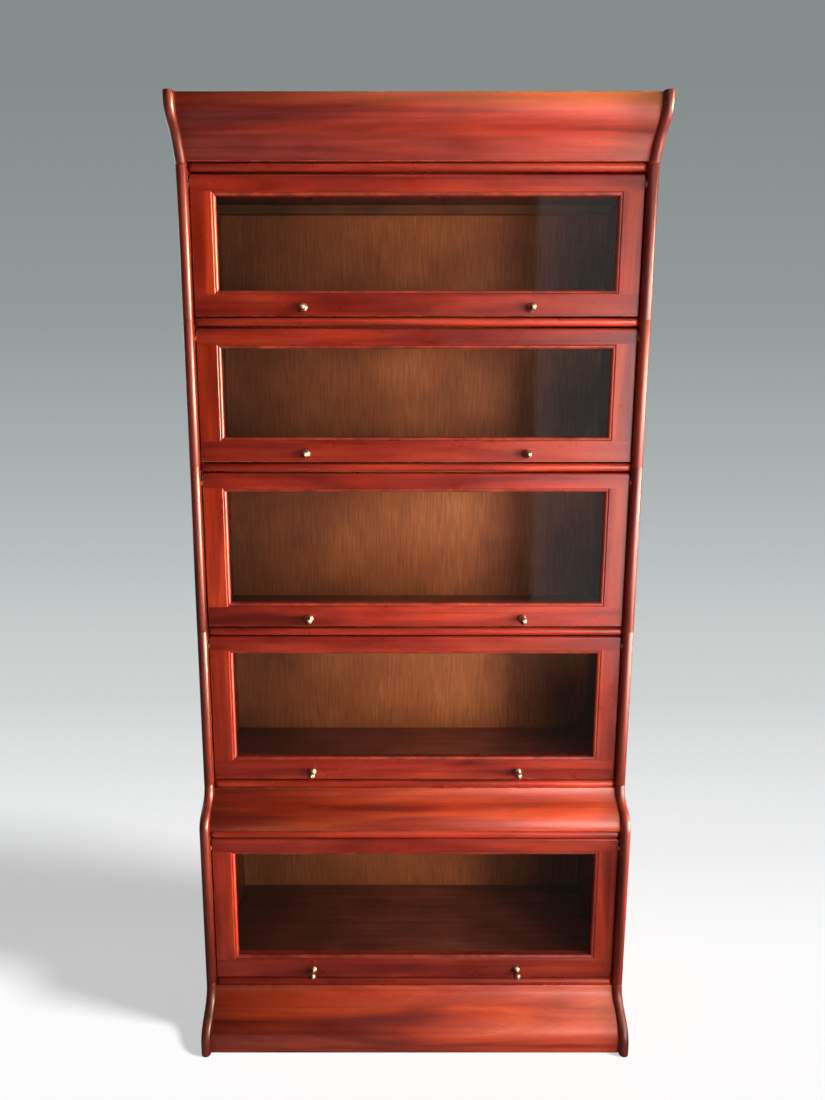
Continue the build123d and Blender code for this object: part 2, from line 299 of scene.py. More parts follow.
# %% Stain it
def stained_wood(tree, noises, stain):
    """Three tones of stain over the figure, darkened by ribbons, pores and brown clouds."""
    tone = add_node(tree, "ValToRGB", [noises["figure"]], ramp=list(zip((0.30, 0.50, 0.70), stain)))
    layers = {"ribbons": (0.45, [(0.36, "#b8867c"), (0.50, "#ffffff"), (0.66, "#fff2ea")]),
              "pores": (0.4, [(0.28, "#8a5a4c"), (0.40, "#ffffff")]),
              "clouds": (0.5, [(0.36, "#b39684"), (0.52, "#ffffff"), (0.66, "#ffead2")])}
    # A Mix node takes its two colours in sockets 6 and 7, and gives the mixed colour as output 2
    for noise, (strength, ramp) in layers.items():
        layer = add_node(tree, "ValToRGB", [noises[noise]], ramp=ramp)
        tone = add_node(tree, "Mix", {0: strength, 6: tone, 7: layer},
                        data_type="RGBA", blend_type="MULTIPLY").outputs[2]
    return tone


# %% [markdown]
# Light and shade are painted into the tone. The right of the case is painted a little paler than the left,
# as painted light, and the wood beside the end boards is painted darker, as painted shade. Each board took
# the stain in its own way: a second number on its faces says how much paler it is than most, partly its own
# stain and partly painted light and shade. Along the top of the cornice a painted highlight, tan and
# strongest at the right, takes the red out of the wood in patches.

# %% Paint light and shade on it, and tone each board
left_side, right_side = -0.42, 0.42
# Where the painted shade beside the end boards begins and is darkest, in metres from the middle
corner_shade_start, corner_shade_end = 0.37, 0.43
highlight_foot, highlight_top = 1.784, 1.808


def aged_tone(tree, axes, stained):
    """The stained wood with painted light and shade by its place, and paler or darker by its board."""
    paler = add_node(tree, "Attribute", attribute_name="board_paler")
    # Painted light: the right of the case paler and the left darker, as the lamps at the right light it
    painted_light_by_x = add_node(tree, "MapRange", [axes.outputs["X"], left_side, right_side, 0.82, 1.10])
    side = add_node(tree, "Math", [axes.outputs["X"]], operation="ABSOLUTE")
    # Painted shade: darker towards the end boards, where their noses shade the wood beside them
    painted_corner_shade = add_node(tree, "MapRange", [side, corner_shade_start, corner_shade_end, 1.0, 0.72])
    # Painted light times painted shade
    wear_slot_and_painted_tone = add_node(tree, "Math", [painted_light_by_x, painted_corner_shade], operation="MULTIPLY")
    tone = add_node(tree, "Math", [paler.outputs["Fac"], wear_slot_and_painted_tone, wear_slot_and_painted_tone], operation="MULTIPLY_ADD")
    return add_node(tree, "HueSaturation", {"Value": tone, "Color": stained})


def painted_top_highlight(tree, axes, ribbons, toned, highlight_strength):
    """The toned wood with a painted highlight in tan patches along the top of the case, most of it at the
    right.
    """
    high = add_node(tree, "MapRange", [axes.outputs["Z"], highlight_foot, highlight_top, 0.0, highlight_strength])
    right = add_node(tree, "MapRange", [axes.outputs["X"], -0.30, 0.40, 0.15, 1.0])
    highlight_mask = add_node(tree, "Math", [high, right], operation="MULTIPLY")
    patchy = add_node(tree, "Math", [highlight_mask, ribbons], operation="MULTIPLY")
    # The tan of the painted highlight
    return add_node(tree, "Mix", {0: patchy, 6: toned, 7: colour("#b06a32")}, data_type="RGBA").outputs[2]


# %% Polish it
def mahogany(name, grain, stain, shine=(0.26, 0.36), wax=0.0, highlight_strength=0.0):
    """Polished mahogany: the axis of its grain, three tones of stain, the range of its roughness, a coat
    of wax, and how strong a painted highlight along the top edge of the case is."""
    material, tree = new_material(name)
    place = add_node(tree, "TexCoord").outputs["Object"]
    axes = add_node(tree, "SeparateXYZ", [place])
    noises = wood_figure(tree, place, grain)
    toned = aged_tone(tree, axes, stained_wood(tree, noises, stain))
    gloss = add_node(tree, "MapRange", [noises["smears"], 0.3, 0.7, *shine])
    grooves = add_node(tree, "Bump", {"Height": noises["pores"], "Strength": 0.04, "Distance": 0.2 * mm})
    waves = add_node(tree, "Bump", {"Height": noises["figure"], "Strength": 0.05, "Distance": 1.0 * mm,
                                    "Normal": grooves})
    shellac = add_node(tree, "BsdfPrincipled", {
        "Base Color": painted_top_highlight(tree, axes, noises["ribbons"], toned, highlight_strength), "Roughness": gloss,
        "Normal": waves, "IOR": 1.50, "Coat Weight": wax, "Coat Roughness": shine[1]})
    add_node(tree, "OutputMaterial", [shellac])
    return material


# %% Mix the mahoganies
along_x, along_y, along_z = 0, 1, 2
crimson = ("#66150c", "#8e2615", "#a93a21")
orange = ("#6a190a", "#93290f", "#ad3f19")
amber = ("#6c1d0c", "#963015", "#b44a22")
# Ends and stiles: the full gloss of shellac over an orange red
upright_wood = mahogany("french_polished_mahogany_upright", along_z, orange)
# Noses and mouldings that hands and dusters rub: a duller polish under wax, so broad soft highlights
rubbed_wood = mahogany("hand_rubbed_mahogany_upright", along_z, orange, shine=(0.34, 0.42), wax=0.8)
# The shoulder and the plinth: satin, so their curves show as one slow change of tone
satin_wood = mahogany("satin_polished_mahogany_level", along_x, amber, shine=(0.36, 0.46))
# The cornice: dull, with a painted highlight in tan patches along its top
cornice_wood_with_painted_highlight = mahogany("sun_bleached_mahogany_level", along_x, crimson, shine=(0.38, 0.48), highlight_strength=1.1)
# Rails and shelf lips, and boards whose grain runs from front to back: full gloss over a colder red
level_wood = mahogany("french_polished_mahogany_level", along_x, crimson)
deep_wood = mahogany("french_polished_mahogany_front_to_back", along_y, crimson)
print("nodes in one mahogany:", len(level_wood.node_tree.nodes))

# %% [markdown]
# ## Mahogany where hands and dusters have rubbed it
# Along the edges the shellac and stain have worn through, and the paler, browner wood shows in patches.
# A bevel can give the new faces it makes another material, so every softened edge takes this one.

# %% Mix the worn edge
# Bare wood under a little wax: it shines in spots, between patches that have gone dry
worn_edge, tree = new_material("mahogany_rubbed_through")
place = add_node(tree, "TexCoord")
patches = add_node(tree, "TexNoise", {"Vector": place.outputs["Object"], "Scale": 1000 / 22, "Detail": 5.0,
                                      "Roughness": 0.6})
rubbed = add_node(tree, "ValToRGB", [patches],
                  ramp=[(0.40, "#8a2a16"), (0.56, "#ab4f30"), (0.72, "#c67c50")])
dry = add_node(tree, "MapRange", [patches, 0.4, 0.7, 0.28, 0.50])
bare = add_node(tree, "BsdfPrincipled", {"Base Color": rubbed, "Roughness": dry, "IOR": 1.50,
                                         "Coat Weight": 0.3, "Coat Roughness": 0.2})
add_node(tree, "OutputMaterial", [bare])
print("material:", worn_edge.name)

# %% [markdown]
# ## The plain woods
# Rails, blocks and runners that nobody sees are a paler wood with a thin brown stain and no polish. The
# backs are three-ply sheets: a warm brown face with fine upright grain, cloudy where the stain took
# unevenly. These plain woods are painted paler from the middle to the right, as painted light. The tops of
# the shelves lost their polish under the books. The backs keep their imported shape and carry no number on
# their faces, so the number of the object moves the noise instead, and each sheet has a figure of its own.

# %% Mix the rail wood, the shelf tops and the back sheets
shaded_x, lit_x = -0.36, 0.02


def plain_wood(name, grain_size, patch_size, ramp, roughness):
    """Stained wood without polish: streaks of a size along X, Y and Z, over patches, in millimetres."""
    material, tree = new_material(name)
    place = add_node(tree, "TexCoord").outputs["Object"]
    piece = add_node(tree, "ObjectInfo").outputs["Object Index"]
    run = add_node(tree, "Mapping", {"Vector": place, "Scale": [1000 / size for size in grain_size]})
    streaks = add_node(tree, "TexNoise", {"Vector": run, "W": piece, "Scale": 1.0, "Detail": 4.0,
                                          "Roughness": 0.6, "Distortion": 0.3}, noise_dimensions="4D")
    clouds = add_node(tree, "TexNoise", {"Vector": place, "W": piece, "Scale": 1000 / patch_size,
                                         "Detail": 3.0}, noise_dimensions="4D")
    half = add_node(tree, "Mix", {0: 0.5, 2: streaks, 3: clouds})
    stain = add_node(tree, "ValToRGB", [half], ramp=ramp)
    axes = add_node(tree, "SeparateXYZ", [place])
    # Painted light: darker at the left, paler from the middle to the right
    painted_light_by_x = add_node(tree, "MapRange", [axes.outputs["X"], shaded_x, lit_x, 0.85, 1.9])
    toned = add_node(tree, "HueSaturation", {"Value": painted_light_by_x, "Color": stain})
    fibres = add_node(tree, "Bump", {"Height": streaks, "Strength": 0.25, "Distance": 0.3 * mm})
    surface = add_node(tree, "BsdfPrincipled", {"Base Color": toned, "Roughness": roughness,
                                                "Normal": fibres, "IOR": 1.45})
    add_node(tree, "OutputMaterial", [surface])
    return material


# Planed poplar: matt, with long faint streaks
rail_wood = plain_wood("stained_poplar_planed", (260, 6, 6), 120,
                       [(0.34, "#5a3019"), (0.52, "#7a4626"), (0.70, "#916038")], 0.62)
# Shelf tops: what is left of the polish gives a dull sheen
dusty_wood = plain_wood("mahogany_shelf_dulled_by_books", (300, 12, 12), 90,
                        [(0.32, "#5a2a1c"), (0.52, "#80402e"), (0.72, "#985846")], 0.45)
# Sanded plywood: fine upright streaks, and no gloss for the glass in front to compete with
back_sheet = plain_wood("stained_plywood_sanded", (4, 4, 60), 150,
                        [(0.28, "#6f3419"), (0.52, "#a4592b"), (0.76, "#cd7f48")], 0.55)
print("plain woods:", rail_wood.name, dusty_wood.name, back_sheet.name)

# %% [markdown]
# ## Old sheet glass
# The panes are drawn sheet glass: clear, a touch green, and not quite flat, so reflections swim. Glass
# that bends light would also keep the lamps from the shelves, so a thin see-through surface is used: most
# light goes straight on, and what is left gives a faint sheen and a film of dust.

# %% Mix the glass
glass, tree = new_material("drawn_sheet_glass")
place = add_node(tree, "TexCoord").outputs["Object"]
swim = add_node(tree, "TexNoise", {"Vector": place, "Scale": 1000 / 90, "Detail": 1.0})
wave = add_node(tree, "Bump", {"Height": swim, "Strength": 0.05, "Distance": 1.0 * mm})
dust = add_node(tree, "TexNoise", {"Vector": place, "Scale": 1000 / 35, "Detail": 6.0})
film = add_node(tree, "MapRange", [dust, 0.35, 0.75, 0.03, 0.10])
pane = add_node(tree, "BsdfPrincipled", {"Base Color": colour("#1d2320"), "Roughness": film,
                                         "Normal": wave, "IOR": 1.6, "Alpha": 0.12})
add_node(tree, "OutputMaterial", [pane])
print("material:", glass.name)

# %% [markdown]
# ## Brass and steel
# The knobs are turned brass, dulled to a pale pinkish gold; the studs are painted dark brown, as painted
# shade for the dark gap beside the end boards that they sit in.
# The slides are plain drawn steel with a film of old oil. All are metals, so their colour is the colour
# of their reflection, and the roughness alone decides how sharp that is.

# %% Mix the metals
def metal(name, ramp, patch_size, smooth, rough):
    """A metal whose tone and polish wander in patches of the given size, in millimetres."""
    material, tree = new_material(name)
    place = add_node(tree, "TexCoord")
    patches = add_node(tree, "TexNoise", {"Vector": place.outputs["Object"], "Scale": 1000 / patch_size,
                                          "Detail": 4.0})
    tarnish = add_node(tree, "ValToRGB", [patches], ramp=ramp)
    polish = add_node(tree, "MapRange", [patches, 0.3, 0.7, smooth, rough])
    surface = add_node(tree, "BsdfPrincipled", {"Base Color": tarnish, "Metallic": 1.0, "Roughness": polish})
    add_node(tree, "OutputMaterial", [surface])
    return material


brass_tones = [(0.34, "#7d6050"), (0.52, "#bb9c86"), (0.70, "#e0cab4")]
brass = metal("turned_brass_tarnished", brass_tones, 5, 0.34, 0.50)
# Painted shade: the studs sit in the dark gap beside the end boards
stud_brass_painted_dark = metal("turned_brass_browned", [(0.36, "#2b1c10"), (0.64, "#4a3420")], 5, 0.45, 0.60)
steel = metal("drawn_steel_oiled", [(0.36, "#4d4a46"), (0.64, "#7d7a75")], 14, 0.32, 0.48)
print("metals:", brass.name, stud_brass_painted_dark.name, steel.name)

# %% [markdown]
# ## How a board is started and finished
# Every wooden piece starts as a cube of the board's size, with its place in its mesh. It ends with its
# sharp edges rubbed round, smooth shading across the gentle angles only, its number, and the body that
# it rides on. What is alike is modelled once and copied, and a right-hand piece is a left one mirrored.

# %% Start a board or a rod
def at(*sizes):
    """A point or a move given in millimetres."""
    return [size * mm for size in sizes]


def start_board(name, low, high):
    """A cube stretched between two corners, selected and active."""
    bpy.ops.object.select_all(action="DESELECT")
    low, high = Vector(low), Vector(high)
    bpy.ops.mesh.primitive_cube_add(size=1, location=(low + high) / 2)
    board = bpy.context.object
    board.name = name
    board.scale = high - low
    bpy.ops.object.transform_apply(location=True, rotation=True, scale=True)
    return board


def start_rod(name, radius, length, middle, sides=32):
    """A cylinder that lies across the bookcase, selected and active."""
    bpy.ops.object.select_all(action="DESELECT")
    bpy.ops.mesh.primitive_cylinder_add(vertices=sides, radius=radius, depth=length,
                                        rotation=(0, math.pi / 2, 0), location=middle)
    rod = bpy.context.object
    rod.name = name
    bpy.ops.object.transform_apply(location=True, rotation=True, scale=True)
    return rod


# %% Copy a piece
def make_active(piece):
    """Select one object alone."""
    bpy.ops.object.select_all(action="DESELECT")
    piece.select_set(True)
    bpy.context.view_layer.objects.active = piece


def copy_piece(source, name, shift=(0, 0, 0), mirrored=False):
    """A copy with its own mesh, moved, and turned into the other hand if asked."""
    make_active(source)
    bpy.ops.object.duplicate(linked=False)
    twin = bpy.context.object
    twin.name = name
    twin.location = shift
    twin.scale = (-1 if mirrored else 1, 1, 1)
    bpy.ops.object.transform_apply(location=True, rotation=True, scale=True)
    if mirrored:
        bpy.ops.object.mode_set(mode="EDIT")
        bpy.ops.mesh.select_all(action="SELECT")
        bpy.ops.mesh.normals_make_consistent(inside=False)
        bpy.ops.object.mode_set(mode="OBJECT")
    return twin


# %% Cut one shape out of another
def cut(board, cutter):
    """Take one shape out of another with a boolean, and throw the cutter away."""
    make_active(board)
    saw = board.modifiers.new("cut", "BOOLEAN")
    saw.operation, saw.object, saw.solver = "DIFFERENCE", cutter, "EXACT"
    bpy.ops.object.modifier_apply(modifier=saw.name)
    bpy.data.objects.remove(cutter, do_unlink=True)


# %% Rub the edges round
sharp_angle, gentle_angle = math.radians(40), math.radians(32)


def rub_edges(board, radius, wear_slot_and_painted_tone):
    """Round every sharp edge a little, and give the new faces the material of index worn."""
    make_active(board)
    bevel = board.modifiers.new("rubbed edges", "BEVEL")
    bevel.width, bevel.segments, bevel.material = radius, 2, wear_slot_and_painted_tone
    bevel.limit_method, bevel.angle_limit = "ANGLE", sharp_angle
    bpy.ops.object.modifier_apply(modifier=bevel.name)
    bpy.ops.object.shade_smooth_by_angle(angle=gentle_angle)


# %% Number the boards and put them on their bodies
def number_boards(piece, number_of, paler_of=lambda face: 0.0):
    """Keep on every face the number of its board, for the grain, and how much paler it is than most."""
    for name, value_of in (("board_number", number_of), ("board_paler", paler_of)):
        kept = piece.data.attributes.new(name, "FLOAT", "FACE")
        kept.data.foreach_set("value", [float(value_of(face)) for face in piece.data.polygons])


def place_on(piece, body, node):
    """Let a piece ride on a body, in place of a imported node."""
    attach(piece, body)
    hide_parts(node)


# %% [markdown]
# ## Curved outlines
# Three fronts are curved: the cornice leans out over the case, the lowest section steps forward under an
# S, and the plinth flares out under another. A curve between two points is set by the points and by how
# hard it is pulled off in a direction at each of them, as a bent lath is. Each outline is a list of
# points in depth and height, from the foot up, in millimetres.

# %% Bend a lath
bend, lath_steps = 1.4, 18


def bent_lath(foot, head, foot_pull, head_pull, steps):
    """Points along a lath bent between two points, the foot left out."""
    points = []
    for step in range(1, steps + 1):
        t = step / steps
        towards, leave, arrive = 3 * t**2 - 2 * t**3, t - 2 * t**2 + t**3, t**3 - t**2
        points.append(tuple(f + (h - f) * towards + a * leave + b * arrive
                            for f, h, a, b in zip(foot, head, foot_pull, head_pull)))
    return points


def s_curve(foot, head):
    """An S that leaves and arrives upright."""
    pull = (0, bend * math.dist(foot, head))
    return bent_lath(foot, head, pull, pull, lath_steps)


# %% Draw the outlines
front_y, lower_y, base_y, back_y = -87.5, -143.5, -208.5, 208.5
# Height of the seam under each section, counted from the top, and of the other joints
seams = {1: 1447, 2: 1178, 3: 852.5, 4: 527, 5: 112}
case_top, cornice_seam, shoulder_foot, lower_top_seam, plinth_edge = 1816, 1716, 451.5, 446, 20

short_line = [(front_y, seams[1]), (front_y, cornice_seam)]
tall_line = [(front_y, seams[3]), (front_y, seams[2])]
shoulder_line = [(lower_y, seams[5]), (lower_y, shoulder_foot)]
shoulder_line += s_curve((lower_y, shoulder_foot), (front_y, seams[4]))
base_line = [(base_y, 0), (base_y, plinth_edge)] + s_curve((base_y, plinth_edge), (lower_y, seams[5]))

cove_foot, cove_middle, cove_turn = (-90.5, cornice_seam), (-123.5, 1760), (-152.5, 1800)
cornice_line = [cove_foot] + bent_lath(cove_foot, cove_middle, (-22.4, 37.3), (-39.0, 30.0), 10)
cornice_line += bent_lath(cove_middle, cove_turn, (-47.5, 36.4), (0, 63.6), 10) + [(cove_turn[0], case_top)]
print("points in the outlines:", len(shoulder_line), len(base_line), len(cornice_line))

# %% [markdown]
# ## The end boards
# Each unit has two upright end boards, whose front edges are planed to a full half round. Light runs down
# that round edge as one bright line. A straight board is one slice; a curved one grows slice by slice, by
# extruding the top face up and sliding its front edge to the next point of the outline. Then the two long
# front edges are bevelled until they almost meet, which makes the half round.

# %% Grow an end board
outside, inside = -432, -413
nose_radius = 9 * mm
# Two places this close, in metres, are one, and a face whose normal passes this share looks that way
touch, square_on = 1e-5, 0.9


def end_board(name, outline):
    """A left end board that follows an outline, with a half-round front edge."""
    (y, low), (next_y, high) = outline[:2]
    board = start_board(name, at(outside, y, low), at(inside, back_y, high))
    bpy.ops.object.mode_set(mode="EDIT")
    for slices, ((y, low), (next_y, high)) in enumerate(zip(outline, outline[1:])):
        if slices:
            pick("FACE", lambda face: face.normal.z > square_on
                 and face.calc_center_median().z > low * mm - touch)
            extrude(at(0, 0, high - low))
        pick("VERT", lambda point: point.co.z > high * mm - touch and abs(point.co.y - y * mm) < touch)
        bpy.ops.transform.translate(value=at(0, next_y - y, 0))
    pick("EDGE", lambda edge: middle_of(edge).y < 0
         and abs(edge.verts[0].co.z - edge.verts[1].co.z) > 10 * touch)
    bpy.ops.mesh.bevel(offset=nose_radius, segments=8, affect="EDGES", clamp_overlap=False)
    bpy.ops.object.mode_set(mode="OBJECT")
    return board


# %% [markdown]
# The end boards of a section have a groove inside, for the slide of the door, and a rebate along the back
# edge, for the back sheet. Each is a block, a little longer than the cut, taken out with a boolean. Hands
# have rubbed the noses paler, and the inner half of each nose, beside the doors, is painted darker, as
# painted shade.

# %% Groove a section's end board
pivot_back, pivot_drop = 25.5, 22.5
groove_deep, groove_half, groove_front = 5.7, 5.2, 9.5
rebate_deep, panel_y = 9.5, 200.5
spare = 5
nose_facing, nose_darkest = -0.3, 0.55


def section_end(number, outline, seam_above):
    """An end board with the slide groove and the rebate that takes the back."""
    board = end_board(f"section_{number}_left_end_board", outline)
    low, high = outline[0][1], outline[-1][1]
    pivot_y, pivot_z = outline[0][0] + pivot_back, seam_above - pivot_drop
    cut(board, start_board("groove", at(inside - groove_deep, pivot_y - groove_front, pivot_z - groove_half),
                           at(inside + spare, back_y + spare, pivot_z + groove_half)))
    cut(board, start_board("rebate", at(inside - rebate_deep, panel_y, low - spare),
                           at(inside + spare, back_y + spare, high + spare)))
    return board


def finish_end(board, wood):
    """Give an end board its wood, its rubbed edges, and a nose that hands have rubbed."""
    for material in (wood, worn_edge, rubbed_wood):
        board.data.materials.append(material)
    rub_edges(board, 0.8 * mm, 1)
    for face in board.data.polygons:
        if face.normal.y < nose_facing and face.center.y < 0:
            face.material_index = 2
    return board


# %% Make the left end boards
short_end = finish_end(section_end(1, short_line, cornice_seam), upright_wood)
tall_end = finish_end(section_end(3, tall_line, seams[2]), upright_wood)
deep_end = finish_end(section_end(5, shoulder_line, lower_top_seam), upright_wood)
left_ends = {
    "section_1": short_end,
    "section_2": copy_piece(short_end, "section_2_left_end_board", at(0, 0, seams[2] - seams[1])),
    "section_3": tall_end,
    "section_4": copy_piece(tall_end, "section_4_left_end_board", at(0, 0, seams[4] - seams[3])),
    "section_5": deep_end,
    "cornice": finish_end(end_board("cornice_left_end_board", cornice_line), upright_wood),
    "base": finish_end(end_board("base_left_end_board", base_line), deep_wood),
}
print("faces in a deep end:", len(deep_end.data.polygons))


# %% Mirror them to the right and put them in place
def painted_nose_shade(face):
    """How much darker the inner half of a nose is painted: painted shade beside the doors."""
    towards_door = -face.normal.x if face.center.x > 0 else face.normal.x
    on_nose = face.normal.y < -0.1 and face.center.y < 0
    return -nose_darkest * max(0.0, towards_door) if on_nose else 0.0


for number, (unit, left) in enumerate(left_ends.items()):
    right = copy_piece(left, f"{unit}_right_end_board", mirrored=True)
    for side, piece in (("left", left), ("right", right)):
        board = 1 + 2 * number + (side == "right")
        number_boards(piece, lambda face: board, painted_nose_shade)
        place_on(piece, "case", f"{unit}_{side}_end")
print("end boards:", 2 * len(left_ends))

# %% [markdown]
# ## The curved fronts
# Between the end boards, a little behind their noses, stand three boards that follow the same curves:
# the cove of the cornice, the shoulder over the lowest door and the flared plinth. Each was worked from a
# thick plank. A cube as long as the case is extruded upwards in steps, and each new top slides along the
# outline, so that the board keeps its thickness all the way.

# %% Grow a curved front
set_back, front_thick = 12, 18


def depth_at(outline, z):
    """Depth of an outline at a height, straight between its points."""
    for (y, low), (next_y, high) in zip(outline, outline[1:]):
        if low <= z <= high:
            return y + (next_y - y) * (z - low) / (high - low)


def front_board(name, outline, z_low, z_high, wood):
    """A board between the ends that follows an outline from one height to another."""
    run = [(depth_at(outline, z_low), z_low)] + [p for p in outline if z_low < p[1] < z_high]
    run = [(y + set_back, z) for y, z in run + [(depth_at(outline, z_high), z_high)]]
    (y, low), (next_y, high) = run[:2]
    board = start_board(name, at(inside, y, low), at(-inside, y + front_thick, high))
    bpy.ops.object.mode_set(mode="EDIT")
    pick("FACE", lambda face: face.normal.z > square_on)
    bpy.ops.transform.translate(value=at(0, next_y - y, 0))
    for (y, low), (next_y, high) in zip(run[1:], run[2:]):
        extrude(at(0, next_y - y, high - low))
    bpy.ops.object.mode_set(mode="OBJECT")
    board.data.materials.append(wood)
    board.data.materials.append(worn_edge)
    rub_edges(board, 1.0 * mm, 1)
    return board


# %% Make the cornice, the shoulder and the plinth front
cove_low, shoulder_high, plinth_high = 1721.5, 518, 103
curved_fronts = {
    "cornice_front": front_board("cornice_cove", cornice_line, cove_low, case_top, cornice_wood_with_painted_highlight),
    "shoulder_front": front_board("shoulder_board", shoulder_line, shoulder_foot, shoulder_high, satin_wood),
    "base_front": front_board("plinth_board", base_line, 0, plinth_high, satin_wood),
}
# How much paler each curved front is than most: partly its own tone, partly painted light, most on the
# plinth, which faces up into the light from above
front_paler = {"cornice_front": 0.18, "shoulder_front": 0.28, "base_front": 0.65}
first_front = 24
for number, (node, piece) in enumerate(curved_fronts.items(), first_front):
    number_boards(piece, lambda face: number, lambda face: front_paler[node])
    place_on(piece, "case", node)
    print(piece.name, "faces:", len(piece.data.polygons))

# %% [markdown]
# ## Shelves with rounded lips
# Each section stands on the one below with a shelf board whose front edge shows as a thin rounded lip
# between two doors. The lip is a little shorter than the board, and its corners are round. The front face
# of a cube is extruded on the spot, drawn in sideways and pulled forward; its corners are bevelled, then
# the whole front rim, until the lip is a half round. Points that meet there are merged.

# %% Shape a shelf
lip_half, lip_root, lip_tip, lip_slack = 410.5, 18, 9, 0.2
shelf_drop, shelf_rise = 9, 5.5
corner_radius, lip_radius = 8.5 * mm, 6.7 * mm
# Beyond this X, in metres, lie only lip ends and studs; only broad faces have this area, in square metres
near_end, broad = 0.4, 0.05


def pull_lip(body, seam):
    """Pull the lip out of the front face of a shelf, and round its corners and its rim."""
    pick("FACE", lambda face: face.normal.y < -square_on)
    extrude((0, 0, 0))
    bpy.ops.transform.resize(value=(lip_half / -inside, 1, 1), center_override=at(0, body, seam))
    extrude(at(0, lip_tip - lip_root, 0))
    tip = (body + lip_tip - lip_root) * mm + touch
    pick("EDGE", lambda edge: all(v.co.y < tip for v in edge.verts) and abs(middle_of(edge).x) > near_end)
    bpy.ops.mesh.bevel(offset=corner_radius, segments=6, affect="EDGES", clamp_overlap=False)
    root = (body - lip_slack) * mm
    pick("EDGE", lambda edge: all(v.co.y < root for v in edge.verts)
         and abs(edge.verts[0].co.z - edge.verts[1].co.z) < touch)
    bpy.ops.mesh.bevel(offset=lip_radius, segments=6, affect="EDGES", clamp_overlap=False)
    bpy.ops.mesh.select_all(action="SELECT")
    bpy.ops.mesh.remove_doubles(threshold=0.02 * mm)


def shelf_board(name, front, seam):
    """A shelf with a lip, for a case front at a depth, its seam at a height."""
    body = front + lip_root
    board = start_board(name, at(inside, body, seam - shelf_drop), at(-inside, panel_y, seam + shelf_rise))
    bpy.ops.object.mode_set(mode="EDIT")
    pull_lip(body, seam)
    bpy.ops.object.mode_set(mode="OBJECT")
    for wood in (level_wood, worn_edge, dusty_wood):
        board.data.materials.append(wood)
    rub_edges(board, 0.4 * mm, 1)
    for face in board.data.polygons:
        if face.normal.z > 0.99 and face.area > broad:
            face.material_index = 2
    return board


# %% Make one shallow and one deep shelf, and copy them
shallow = shelf_board("section_1_shelf_board", front_y, seams[1])
deep = shelf_board("section_5_shelf_board", lower_y, seams[5])
shelves = {"section_1_shelf": shallow, "section_5_shelf": deep}
for node, seam in (("section_2_shelf", seams[2]), ("section_3_shelf", seams[3]),
                   ("section_4_shelf", seams[4]), ("cornice_bottom", cornice_seam)):
    shelves[node] = copy_piece(shallow, f"{node}_board", at(0, 0, seam - seams[1]))
shelves["section_5_top"] = copy_piece(deep, "section_5_top_board", at(0, 0, lower_top_seam - seams[5]))
# The lips are painted paler: partly their own tone, partly painted light from above
first_shelf, shelf_paler = 31, 0.25
for number, (node, piece) in enumerate(shelves.items(), first_shelf):
    number_boards(piece, lambda face: number, lambda face: shelf_paler)
    place_on(piece, "case", node)
print("shelves:", len(shelves), "faces in one:", len(shallow.data.polygons))

# %% [markdown]
# ## Door frames
# A door is two rails that run from edge to edge and two stiles that stand between them. The inner edge is
# moulded and mitred at the corners: a small bead, a dark narrow quirk, and a wide quarter round that falls
# to the glass. A cube of the door's size is inset once for the flat of the frame, and its top and bottom
# edges are moved, because the rails are narrower above and wider below. Each point of the moulding is then
# one more inset and one small move inwards. The back is inset and pushed in for the glass, the two openings
# are joined where they meet, and two level saw cuts through the mesh divide rails from stiles.

# %% Size the frame and its moulding
stile_flat, rebate_flat = 36 * mm, 35 * mm
rise_above, rise_below = 7 * mm, 3 * mm
glass_depth, rebate_step = 8 * mm, 9 * mm
# How far in from the flat, and how far down from the face, in millimetres
moulding = [(0.9, 0.25), (1.7, 0.8), (2.2, 1.6), (2.7, 2.4), (3.2, 2.0), (4.5, 2.1), (5.9, 2.8), (7.0, 3.9),
            (7.7, 5.0), (8.0, 6.2)]


def is_panel(face, way):
    """True for the large middle face on the front, way -1, or on the back, way 1."""
    middle = face.calc_center_median()
    return face.normal.y * way > square_on and abs(middle.x) < 1 * mm and face.calc_area() > broad


def shift_rails(face_y, half, middle_z):
    """Move the inner edges of a fresh inset: narrower rail above, wider rail below."""
    on_inset = lambda point: abs(point.co.y - face_y) < touch and abs(point.co.x) < half - 1 * mm
    pick("VERT", lambda point: on_inset(point) and point.co.z > middle_z)
    bpy.ops.transform.translate(value=(0, 0, rise_above))
    pick("VERT", lambda point: on_inset(point) and point.co.z < middle_z)
    bpy.ops.transform.translate(value=(0, 0, rise_below))


# %% Mould the front and rebate the back
def mould_front(low, high):
    """Inset the front for the flat, then ring by ring down the moulding to the glass."""
    pick("FACE", lambda face: is_panel(face, -1))
    bpy.ops.mesh.inset(thickness=stile_flat)
    shift_rails(low.y, high.x, (low.z + high.z) / 2)
    pick("FACE", lambda face: is_panel(face, -1))
    was_in, was_down = 0.0, 0.0
    for inwards, down in moulding:
        bpy.ops.mesh.inset(thickness=(inwards - was_in) * mm)
        bpy.ops.transform.translate(value=at(0, down - was_down, 0))
        was_in, was_down = inwards, down
    extrude((0, glass_depth - was_down * mm, 0))


def rebate_back(low, high):
    """Inset the back, sink it to the glass and inset again to the sight line."""
    pick("FACE", lambda face: is_panel(face, 1))
    bpy.ops.mesh.inset(thickness=rebate_flat)
    shift_rails(high.y, high.x, (low.z + high.z) / 2)
    pick("FACE", lambda face: is_panel(face, 1))
    extrude((0, low.y + glass_depth - high.y, 0))
    bpy.ops.mesh.inset(thickness=rebate_step)


# %% Open the frame, round its top and saw its joints
top_round, rim_round = 5 * mm, 0.8 * mm


def joint_heights(low, high):
    """Where the stiles meet the bottom rail and the top rail."""
    return low.z + stile_flat + rise_below, high.z - stile_flat + rise_above


